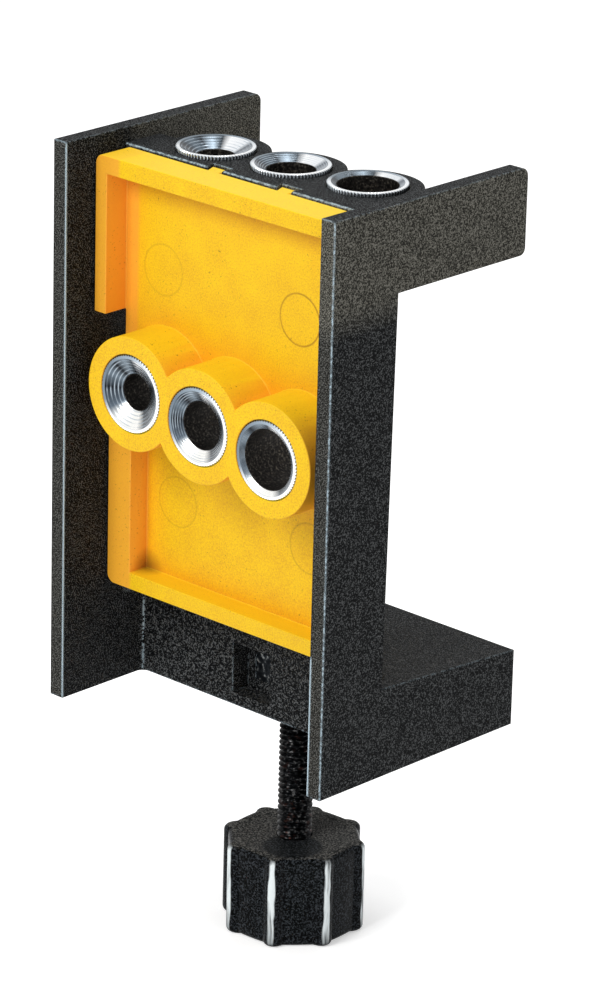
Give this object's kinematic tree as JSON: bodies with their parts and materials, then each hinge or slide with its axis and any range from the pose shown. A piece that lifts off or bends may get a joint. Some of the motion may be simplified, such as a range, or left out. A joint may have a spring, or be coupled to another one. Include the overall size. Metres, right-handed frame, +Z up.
{
  "type": "self centering doweling jig",
  "caption": "C shaped doweling jig whose knob lifts a pad under a board and a carriage of drill bushings at half the pad's speed, so the holes stay centred.",
  "frame": {"origin": "on the ground under the middle of the jig, with the knob's underside on it", "axes": "+Z up along the spindle; the carriage's bushings face -Y; the throat opens towards +Y; X runs across the jig"},
  "size_m": [0.0626, 0.047, 0.1381],
  "materials": {
    "frame_black": "fine spark textured moulding",
    "carriage_yellow": "satin moulding",
    "bushing_steel": "bright zinc over hardened steel",
    "zinc_steel": "zinc plated",
    "spindle_steel": "oiled steel",
    "knob_black": "glossy moulding",
    "pad_rubber": "matt"
  },
  "bodies": {
    "frame_body": {"frame": "frame_black", "bushing_block": "frame_black", "top_bushing_6": "bushing_steel", "top_bushing_8": "bushing_steel", "top_bushing_10": "bushing_steel", "square_nut": "zinc_steel"},
    "carriage_body": {"carriage": "carriage_yellow", "front_bushing_6": "bushing_steel", "front_bushing_8": "bushing_steel", "front_bushing_10": "bushing_steel", "thrust_washer_lower": "zinc_steel", "thrust_washer_upper": "zinc_steel"},
    "spindle_body": {"spindle": "spindle_steel", "retaining_ring": "zinc_steel", "knob": "knob_black", "knob_cap": "knob_black"},
    "pad_body": {"pressure_pad": "zinc_steel", "pad_facing": "pad_rubber", "pad_screw": "spindle_steel"}
  },
  "joints": [
    {"name": "knob_turn", "type": "hinge", "parent": "carriage_body", "child": "spindle_body", "pos_m": [0, 0.00445, 0], "axis": [0, 0, 1], "range_deg": [0, 7560.1]},
    {"name": "carriage_slide", "type": "slide", "parent": "frame_body", "child": "carriage_body", "axis": [0, 0, 1], "range_m": [0, 0.021]},
    {"name": "pad_slide", "type": "slide", "parent": "frame_body", "child": "pad_body", "axis": [0, 0, 1], "range_m": [0, 0.04201]}
  ],
  "couplings": [
    {"joint": "knob_turn", "follows": "carriage_slide", "rad_per_m": 6283.2},
    {"joint": "pad_slide", "follows": "carriage_slide", "ratio": 2}
  ]
}
